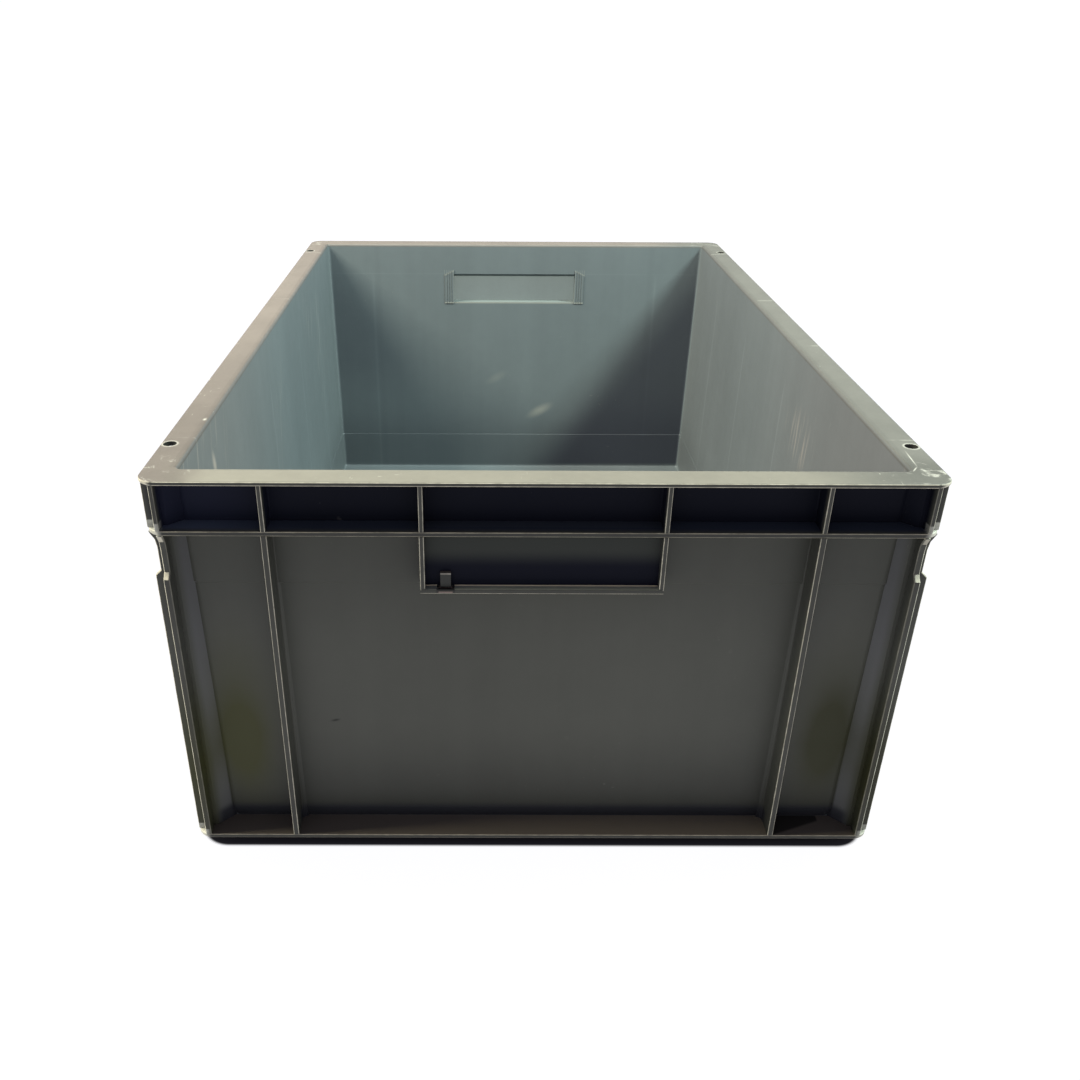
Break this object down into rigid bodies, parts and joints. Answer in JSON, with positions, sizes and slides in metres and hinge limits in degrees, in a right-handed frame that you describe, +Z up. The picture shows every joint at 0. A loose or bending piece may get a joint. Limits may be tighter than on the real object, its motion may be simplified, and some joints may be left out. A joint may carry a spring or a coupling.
{
  "type": "stacking storage crate",
  "caption": "Rigid open-topped Euro stacking crate with smooth walls, ribbed outside, double top rim, and a closed hand grip on each short end.",
  "frame": {"origin": "centre of the crate's footprint, on the floor it stands on", "axes": "+Z up, +Y along the long sides from the front short end to the rear one, +X across to the right"},
  "size_m": [0.4, 0.6, 0.235],
  "materials": {
    "crate_plastic": "semi-matt injection-moulded polypropylene, dark grey, with light handling wear"
  },
  "bodies": {
    "root": {"band_flange_front": "crate_plastic", "band_flange_left": "crate_plastic", "band_flange_rear": "crate_plastic", "band_flange_right": "crate_plastic", "band_ribs_front": "crate_plastic", "band_ribs_left": "crate_plastic", "band_ribs_rear": "crate_plastic", "band_ribs_right": "crate_plastic", "base_flange_front": "crate_plastic", "base_flange_left": "crate_plastic", "base_flange_rear": "crate_plastic", "base_flange_right": "crate_plastic", "base_foot": "crate_plastic", "base_plate": "crate_plastic", "corner_front_left": "crate_plastic", "corner_front_right": "crate_plastic", "corner_rear_left": "crate_plastic", "corner_rear_right": "crate_plastic", "corner_ribs_front_left": "crate_plastic", "corner_ribs_front_right": "crate_plastic", "corner_ribs_rear_left": "crate_plastic", "corner_ribs_rear_right": "crate_plastic", "grip_cheeks_front": "crate_plastic", "grip_cheeks_rear": "crate_plastic", "grip_frame_front": "crate_plastic", "grip_frame_rear": "crate_plastic", "grip_ledge_front": "crate_plastic", "grip_ledge_rear": "crate_plastic", "grip_pads_front": "crate_plastic", "grip_pads_rear": "crate_plastic", "grip_panel_front": "crate_plastic", "grip_panel_rear": "crate_plastic", "grip_post_front": "crate_plastic", "grip_post_rear": "crate_plastic", "rim_front": "crate_plastic", "rim_left": "crate_plastic", "rim_rear": "crate_plastic", "rim_right": "crate_plastic", "wall_front": "crate_plastic", "wall_left": "crate_plastic", "wall_rear": "crate_plastic", "wall_ribs_front": "crate_plastic", "wall_ribs_left": "crate_plastic", "wall_ribs_rear": "crate_plastic", "wall_ribs_right": "crate_plastic", "wall_right": "crate_plastic"}
  },
  "joints": []
}
